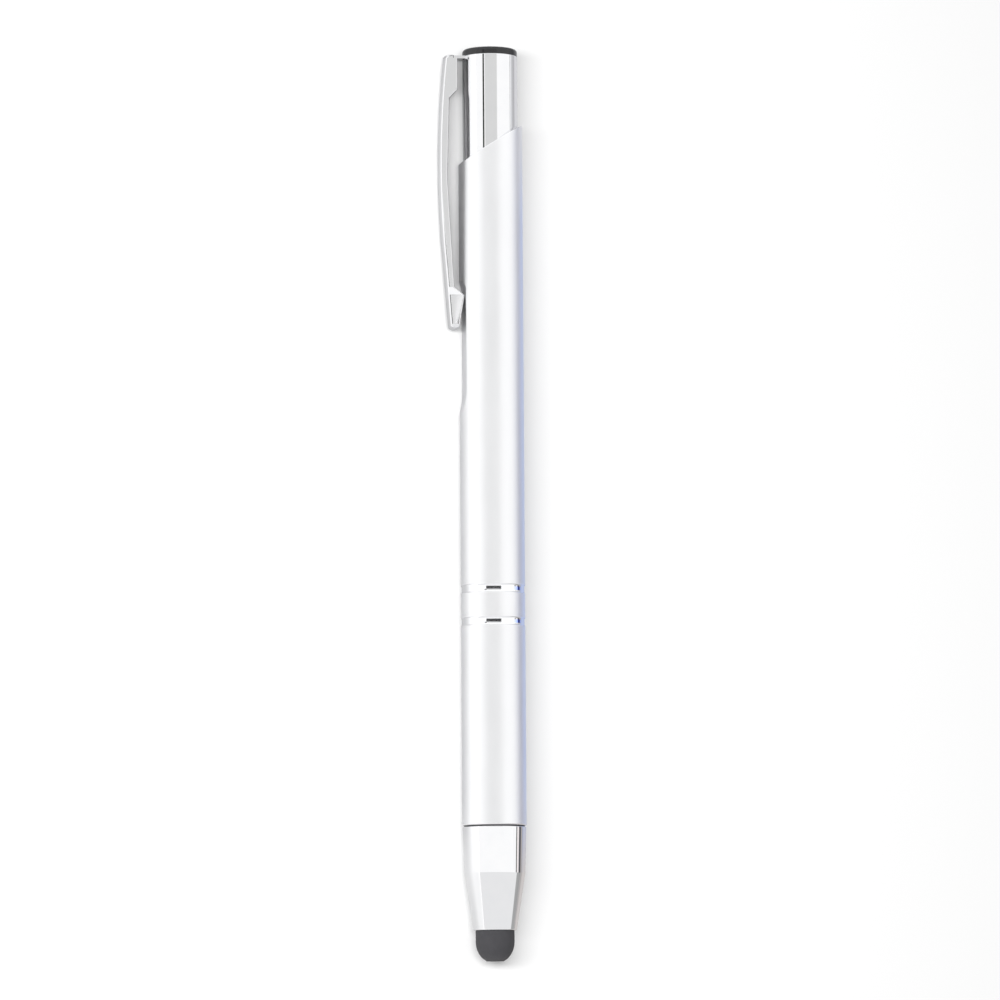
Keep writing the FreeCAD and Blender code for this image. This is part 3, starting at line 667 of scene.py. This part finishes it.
def clipStations():
    # Stations down the clip as columns: height, outer face, wall's edge, half width at the web, half width
    # at the edge, and whether the channel is open there. The outer face is a circle of radius 'bow' down to
    # bowEnd and a straight line from there, with arcs at the top and the nose; the rest are straight runs.
    k = clip
    tip, plate, lobe, shoulder = k["foot"] + k["noseRound"], k["plateFoot"], k["lobeTop"], k["lobeShoulder"]
    topBend, besideShoulder = k["topBend"], k["shoulderGuard"] * np.array([1, 0, -1])
    top = k["top"] - topBend * (1 - np.sqrt(1 - np.linspace(0, 1, k["topRows"])[::-1] ** 2))
    heights = np.concatenate([
        top[:1], top, [plate + k["jump"], plate, plate - k["plateGuard"]],
        *[np.linspace(*stretch) for stretch in k["upperRuns"]],
        [lobe + 2 * k["jump"], lobe, lobe - k["lobeGuard"]],
        np.linspace(lobe, shoulder, k["lobeRows"])[1:-1],
        shoulder + besideShoulder, np.linspace(*k["noseRun"]), [tip + k["lobeGuard"]]])
    opened = (heights < plate + k["jump"] / 2) & (heights > lobe + k["jump"])

    centre = k["reach"] - k["bow"]
    bowed = centre + np.sqrt(k["bow"] ** 2 - (heights - k["peak"]) ** 2)
    atEnd = centre + math.sqrt(k["bow"] ** 2 - (k["bowEnd"] - k["peak"]) ** 2)
    straight = np.interp(heights, [tip, k["bowEnd"]], [k["noseMiddle"] + k["noseRound"], atEnd])
    outer = np.where(heights > k["bowEnd"], bowed, straight)
    over = np.clip(heights - (k["top"] - topBend), 0, topBend)
    outer -= topBend - np.sqrt(topBend ** 2 - over ** 2)
    knots = [tip, shoulder, lobe, k["wallKnee"], k["stepLow"], k["stepHigh"], plate]
    wall = np.interp(heights, knots, [k["noseMiddle"] - k["noseRound"], *k["wallReach"]])
    edge = np.where(heights > plate, k["plateReach"], wall)
    web = np.interp(heights, knots[:3], [k["tipHalf"], k["webNoseHalf"], k["halfWidth"]])
    keel = np.interp(heights, knots[:3], [k["tipKeelHalf"], k["keelHalf"], k["halfWidth"]])

    nose = np.linspace(0, np.radians(k["noseTurn"]), k["noseRows"])
    narrow = np.sqrt(1 - (k["noseDraw"] * np.sin(nose)) ** 2)
    noseStations = [
        k["foot"] + k["noseRound"] * (1 - np.sin(nose)), k["noseMiddle"] + k["noseRound"] * np.cos(nose),
        k["noseMiddle"] - k["noseRound"] * np.cos(nose), k["tipHalf"] * narrow, k["tipKeelHalf"] * narrow]
    stations = np.concatenate([np.stack([heights, outer, edge, web, keel], -1), np.stack(noseStations, -1)])
    stations[0, 1:] -= k["topDraw"]                    # the end face's rim is drawn in
    return stations, np.append(opened, np.zeros(len(nose), bool))


def clipPoints():
    # Closed section at each station: web, bent corner, side wall, rounded edge, and back inside the channel.
    # Where the channel is closed its inner points lie on the keel's middle line.
    k = clip
    stations, opened = clipStations()
    height, outer, edge, web, keel = (stations[:, n:n + 1] for n in range(5))
    deep = outer - edge
    deepShare, webShare = k["bendShares"]
    bend = np.minimum(k["edgeBend"], np.minimum(deepShare * deep, webShare * web))
    stepMiddle = (k["stepHigh"] + k["stepLow"]) / 2
    atStep = np.exp(-((height - stepMiddle) / k["stepRun"]) ** 2)
    deepShare, keelShare = k["roundShares"]
    small = k["wallRound"] + (k["stepRound"] - k["wallRound"]) * atStep
    small = np.minimum(small, np.minimum(deepShare * deep, keelShare * keel))
    inset = np.minimum(small, k["wallRound"])
    crown = k["webCrown"] * (web / k["halfWidth"]) ** 2
    sideTop, sideFoot = outer - crown - bend, edge + small
    floor = outer - crown - k["sheet"]
    innerEdge, innerWeb, innerRound = keel - k["sheet"], web - k["sheet"], k["channelRound"]
    innerTop, innerFoot = floor - innerRound, edge + inset
    flat = np.linspace(0, 1, k["webColumns"])[None, :]
    share = np.array(k["wallShares"])[None, :]

    def arc(centreX, centreY, size, first, last, count):
        turn = np.radians(first + (last - first) * np.linspace(0, 1, count))[None, :]
        return centreX + size * np.cos(turn), centreY + size * np.sin(turn)

    outside = [
        (outer - crown * flat ** 2, (web - bend) * flat),
        arc(sideTop, web - bend, bend, 0, 90, k["bendColumns"]),
        (sideTop + (sideFoot - sideTop) * share, web + (keel - web) * share),
        arc(sideFoot, keel - small, small, 90, 180, k["roundColumns"]),
    ]
    inside = [
        arc(innerFoot, innerEdge + inset, inset, 180, 270, k["roundColumns"]),
        (innerFoot + (innerTop - innerFoot) * share, innerEdge + (innerWeb - innerEdge) * share),
        arc(innerTop, innerWeb - innerRound, innerRound, 90, 0, k["roundColumns"]),
        (floor + 0 * flat, (innerWeb - innerRound) * (1 - flat)),
    ]
    x = np.concatenate([part[0] for part in outside + inside], 1)
    y = np.concatenate([part[1] for part in outside + inside], 1)
    inner = np.arange(x.shape[1]) >= sum(part[0].shape[1] for part in outside)
    shut = inner[None, :] & ~opened[:, None]
    x, y = np.where(shut, edge, x), np.where(shut, 0, y)
    x, y = np.concatenate([x, x[:, ::-1]], 1), np.concatenate([y, -y[:, ::-1]], 1)
    points = np.stack([x, y, height + 0 * x], -1)
    ends = [points[n].mean(0)[None] + 0 * points[n] for n in (0, -1)]
    ends[1][:, 2] = k["foot"]
    return np.concatenate([ends[0][None], points, ends[1][None]])


clipArm = makePiece("clipArm", clipPoints(), False, "clip", ["clip"], "bright_chrome", 20)


def paintChannel(piece):
    # The duller plating inside the channel, whose darker grey is painted shade for the recess: on faces well
    # inside the walls' and the web's outer skins.
    k = clip
    piece.data.materials.append(materials["dull_plating"])
    x, y, height = faceMiddles(piece)
    stations = clipStations()[0]
    order = np.argsort(stations[:, 0])
    outer = np.interp(height, stations[order, 0], stations[order, 1])
    inside = (np.abs(y) < k["halfWidth"] - 0.9 * k["sheet"]) & (x < outer - 0.6 * k["sheet"])
    inside &= (height > k["lobeTop"]) & (height < k["plateFoot"])
    piece.data.polygons.foreach_set("material_index", inside.astype(np.int32))


paintChannel(clipArm)


# return spring, with its head on the refill's collar
spring = dict(meanRadius=1.9, wire=0.18, turns=10, turnRows=36, columns=12)
strokeLength = next(joint for joint in frame["joints"] if joint["name"] == "refill_slide")["range_m"][1]


def springPoints():
    # Wire carried along a helix: middle (R cos a, R sin a, foot + rise a), and round it the circle that the
    # outward direction and its cross product with the tangent span. Both ends close on the middle line.
    s = spring
    low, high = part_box("return_spring")
    foot, head = [(end.y - lying["apexY"]) * 1000 for end in (low, high)]
    share = np.linspace(0, 1, s["turns"] * s["turnRows"] + 1)[:, None]
    angle = 2 * np.pi * s["turns"] * share
    travel = head - foot - 2 * s["wire"]
    outward = np.concatenate([np.cos(angle), np.sin(angle), 0 * angle], 1)
    middle = s["meanRadius"] * outward + [0, 0, 1] * (foot + s["wire"] + travel * share)
    rise = travel / (2 * np.pi * s["turns"] * s["meanRadius"])
    tangent = np.concatenate([-np.sin(angle), np.cos(angle), 0 * angle + rise], 1) / math.hypot(1, rise)
    beside = np.cross(tangent, outward)
    turn = np.linspace(0, 2 * np.pi, s["columns"], endpoint=False)[None, :, None]
    wire = s["wire"] * (np.cos(turn) * outward[:, None] + np.sin(turn) * beside[:, None])
    skin = middle[:, None] + wire
    ends = [np.repeat(middle[n][None, None], s["columns"], 1) for n in (0, -1)]
    return np.concatenate([ends[0], skin, ends[1]])


def makeSpring():
    # Rides with the refill.
    low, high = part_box("return_spring")
    coil = makePiece("returnSpring", springPoints(), False, "refill", ["return_spring"], "spring_steel", 60)
    length = high.y - low.y
    (length - strokeLength) / length
    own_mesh(coil)


makeSpring()


# CAD nodes that stay, with their finishes
keptNodes = {
    "clip_root": "bright_chrome", "clip_bush": "white_acetal", "nose_washer": "black_plastic",
    "nib_core": "refill_metal", "foot_bush": "brass",
    "cam_guide": "white_acetal", "cam_rotor": "blue_acetal", "push_cam": "grey_acetal",
    "point_ball": "carbide", "refill_point": "nickel_silver", "refill_tube": "refill_metal",
    "ink_column": "blue_ink", "grease_plug": "clear_grease",
}
for nodeName, finish in keptNodes.items():
    mesh = frame["nodes"][nodeName].data
    mesh.materials.clear()
    mesh.materials.append(materials[finish])
print("finished", len(keptNodes), "CAD nodes")


def rayKinds(shader):
    # 1 for rays from the camera, and 1 for those that a surface mirrored or let through.
    rays = shader.add("ShaderNodeLightPath", {}, {})
    direct, glossy, transmitted = rays[0], rays[3], rays[6]
    return direct, glossy.maths("MAXIMUM", glossy, transmitted)


floorLook = dict(
    size=6.0, tone=(0.82, 0.82, 0.82), glow=0.06, mirroredGlow=0.12,
    # painted shade on the floor beside the pen, as the metal sees it, toned by the height along the pen and
    # tinted blue by the barrel on the right
    coneLeftShade=(0.66, 0.66, 0.66), barrelLeftShade=(0.48, 0.48, 0.485),
    coneRightShade=(0.56, 0.53, 0.52), barrelRightShade=(0.42, 0.48, 0.68), capRightShade=(0.62, 0.62, 0.64),
    leftFade=(5.0, 15.0), rightEdge=(0.0, 2.0), glowHeight=(4.0, 18.0),
    leftBarrelFrom=(14.0, 26.0), rightBarrelFrom=(12.0, 30.0), rightCapFrom=(118.0, 134.0),
)


def makeFloor():
    # Pale floor that takes the shadow and glows a little to the camera. A mirrored ray sees painted shade on
    # it beside the pen, darker and tinted by the height along the pen, its own pale tone further out on the
    # left, and a glow there.
    f = floorLook
    half = f["size"] / 2
    corners = [(-half, -half, 0), (half, -half, 0), (half, half, 0), (-half, half, 0)]
    mesh = bpy.data.meshes.new("floor")
    mesh.from_pydata(corners, [], [(0, 1, 2, 3)])
    floor = bpy.data.objects.new("floor", mesh)
    bpy.context.scene.collection.objects.link(floor)
    material = bpy.data.materials.new("paleFloor")
    shader = Shader(material)
    direct, mirrored = rayKinds(shader)
    across = shader.add("ShaderNodeSeparateXYZ", {}, {"Vector": shader.place()})[0] - lying["axisX"] * 1000
    along = shader.height()
    farLeft = (0 - across).step(*f["leftFade"])
    # painted shade on the floor beside the pen: grey on the left, warm grey by the cone, blue by the barrel
    # and pale grey by the cap on the right
    left = shader.mix(along.step(*f["leftBarrelFrom"]), f["coneLeftShade"], f["barrelLeftShade"])
    right = shader.mix(along.step(*f["rightBarrelFrom"]), f["coneRightShade"], f["barrelRightShade"])
    right = shader.mix(along.step(*f["rightCapFrom"]), right, f["capRightShade"])
    beside = shader.mix(across.step(*f["rightEdge"]), left, right)
    # mirrored rays see this painted shade everywhere but far out on the left
    tone = shader.mix(mirrored * (1 - farLeft), f["tone"], beside)
    glow = direct * f["glow"] + mirrored * farLeft * along.step(*f["glowHeight"]) * f["mirroredGlow"]
    paint = shader.add("ShaderNodeBsdfDiffuse", {}, {"Color": tone})[0]
    light = shader.add("ShaderNodeEmission", {}, {"Color": glow, "Strength": 1.0})[0]
    both = shader.add("ShaderNodeAddShader", {}, {0: paint, 1: light})[0]
    shader.add("ShaderNodeOutputMaterial", {}, {"Surface": both})
    mesh.materials.append(material)


tent = dict(
    ambient=0.50, bright=(1.15, 1.15, 1.15), panel=(0.80, 0.80, 0.795), seam=(0.02, 0.02, 0.02),
    line=(0.35, 0.35, 0.36),
    # where one ramp passes into the next, as the mirrored ray's lean to the cap: 0 is square to the pen
    nibFrom=(-0.16, -0.08), barrelFrom=(0.056, 0.064), capFrom=(0.112, 0.124), brightFrom=(0.26, 0.32),
    brightTurn=(0.15, 0.2),
    lensTurn=0.663, lensHalf=(0.151, 0.157), lensFrom=(0.030, 0.040), lensTo=(0.100, 0.106),
    lensTone=(0.02, 0.02, 0.022),
)
# the tent's colours as (turn, colour): turn 0 is level on the right, 0.5 overhead, 1 level on the left
tent["capSide"] = [
    (0.00, (0.54, 0.54, 0.56)), (0.07, (0.60, 0.60, 0.62)), (0.13, (0.92, 0.92, 0.94)),
    (0.150, tent["bright"]), (0.153, tent["line"]), (0.160, tent["line"]), (0.164, tent["bright"]),
    (0.506, tent["bright"]), (0.514, tent["panel"]), (0.786, tent["panel"]), (0.792, tent["bright"]),
    (0.806, tent["bright"]), (0.811, tent["seam"]), (0.842, tent["seam"]), (0.848, tent["bright"]),
]
tent["barrelSide"] = [
    (0.00, (0.38, 0.48, 0.95)), (0.022, (0.38, 0.48, 0.95)), (0.028, (0.02, 0.03, 0.20)),
    (0.095, (0.02, 0.03, 0.20)), (0.101, (0.42, 0.56, 1.15)), (0.150, (0.72, 0.86, 1.30)),
    (0.23, tent["bright"]), (1.0, tent["bright"]),
]
tent["nibSide"] = [
    (0.00, (0.50, 0.47, 0.46)), (0.040, (0.50, 0.47, 0.46)), (0.052, (0.11, 0.105, 0.12)),
    (0.108, (0.11, 0.105, 0.12)), (0.116, (0.98, 0.93, 0.92)), (0.164, (1.05, 1.0, 1.0)),
    (0.170, (0.05, 0.05, 0.06)), (0.190, (0.05, 0.05, 0.06)), (0.196, tent["bright"]), (1.0, tent["bright"]),
]
tent["coneSide"] = [
    (0.00, (0.52, 0.52, 0.52)), (0.09, (0.44, 0.44, 0.44)), (0.150, (0.42, 0.42, 0.42)),
    (0.160, (0.94, 0.94, 0.945)), (1.0, (0.94, 0.94, 0.945)),
]


def makeWorld():
    # Even light for matt surfaces, and white behind the pen for the camera. Metal mirrors the tent: four
    # ramps round the pen, chosen by the ray's lean, bright beyond them, and a dark patch round the camera,
    # which the bands mirror.
    world = bpy.data.worlds.new("lightTent")
    bpy.context.scene.world = world
    shader = Shader(world)
    way = shader.add("ShaderNodeTexCoord", {}, {})[0]
    x, lean, z = shader.add("ShaderNodeSeparateXYZ", {}, {"Vector": way})
    turn = z.maths("ARCTAN2", z, x) / math.pi
    sides = ["coneSide", "nibSide", "barrelSide", "capSide"]
    coneRamp, nibRamp, barrelRamp, capRamp = [shader.ramp(turn, tent[side]) for side in sides]
    seen = shader.mix(lean.step(*tent["barrelFrom"]), nibRamp, barrelRamp)
    seen = shader.mix(lean.step(*tent["capFrom"]), seen, capRamp)
    seen = shader.mix(turn.step(*tent["brightTurn"]) * lean.step(*tent["brightFrom"]), seen, tent["bright"])
    seen = shader.mix(lean.step(*tent["nibFrom"]), coneRamp, seen)
    offLens = turn - tent["lensTurn"]
    lens = 1 - offLens.maths("ABSOLUTE", offLens).step(*tent["lensHalf"])
    lens = lens * lean.step(*tent["lensFrom"]) * (1 - lean.step(*tent["lensTo"]))
    seen = shader.mix(lens, seen, tent["lensTone"])
    direct, mirrored = rayKinds(shader)
    even = shader.mix(direct, [tent["ambient"]] * 3, (1, 1, 1))
    tone = shader.mix(mirrored, even, seen)
    light = shader.add("ShaderNodeBackground", {}, {"Color": tone, "Strength": 1.0})[0]
    shader.add("ShaderNodeOutputWorld", {}, {"Surface": light})


keyLight = dict(power=5.3, turn=128.0, distance=0.7, width=0.11, length=0.5)
camera = dict(
    lens=240.0, distance=1.0347, alongHeight=-27.77, tilt=5.5, towards=122.0, offset=0.00119, lean=0.37,
)


def makeKey():
    # Soft key from the left; metal doesn't mirror it.
    k = keyLight
    turn = math.radians(k["turn"])
    away = Vector((math.cos(turn), 0, math.sin(turn)))
    data = bpy.data.lights.new("keyLight", "AREA")
    data.shape, data.size, data.size_y, data.energy = "RECTANGLE", k["width"], k["length"], k["power"]
    key = bpy.data.objects.new("keyLight", data)
    key.location = away * k["distance"]
    key.rotation_euler = away.to_track_quat("Z", "Y").to_euler()
    key.visible_glossy = False
    bpy.context.scene.collection.objects.link(key)


def makeCamera():
    # Stands away from the axis in the direction 'towards', tilted along the pen; lean turns the picture.
    c = camera
    turn, tilt, lean = math.radians(c["towards"]), math.radians(c["tilt"]), math.radians(c["lean"])
    towards = Vector((math.cos(turn), 0, math.sin(turn)))
    along = Vector((0, 1, 0))
    right = along.cross(towards)
    back = towards * math.cos(tilt) - along * math.sin(tilt)
    up = back.cross(right)
    leanRight = right * math.cos(lean) - up * math.sin(lean)
    leanUp = up * math.cos(lean) + right * math.sin(lean)
    place = Vector((lying["axisX"], lying["apexY"] + c["alongHeight"] / 1000, lying["axisZ"]))
    place += towards * c["distance"] + right * c["offset"]
    data = bpy.data.cameras.new("camera")
    data.lens, data.sensor_width, data.clip_start, data.clip_end = c["lens"], 36.0, 0.05, 20.0
    view = bpy.data.objects.new("camera", data)
    view.matrix_world = Matrix((
        (leanRight.x, leanUp.x, back.x, place.x), (leanRight.y, leanUp.y, back.y, place.y),
        (leanRight.z, leanUp.z, back.z, place.z), (0, 0, 0, 1)))
    bpy.context.scene.collection.objects.link(view)
    bpy.context.scene.camera = view


makeFloor()
makeWorld()
makeKey()
makeCamera()
bpy.context.scene.view_settings.view_transform = "Standard"
print("set the studio")
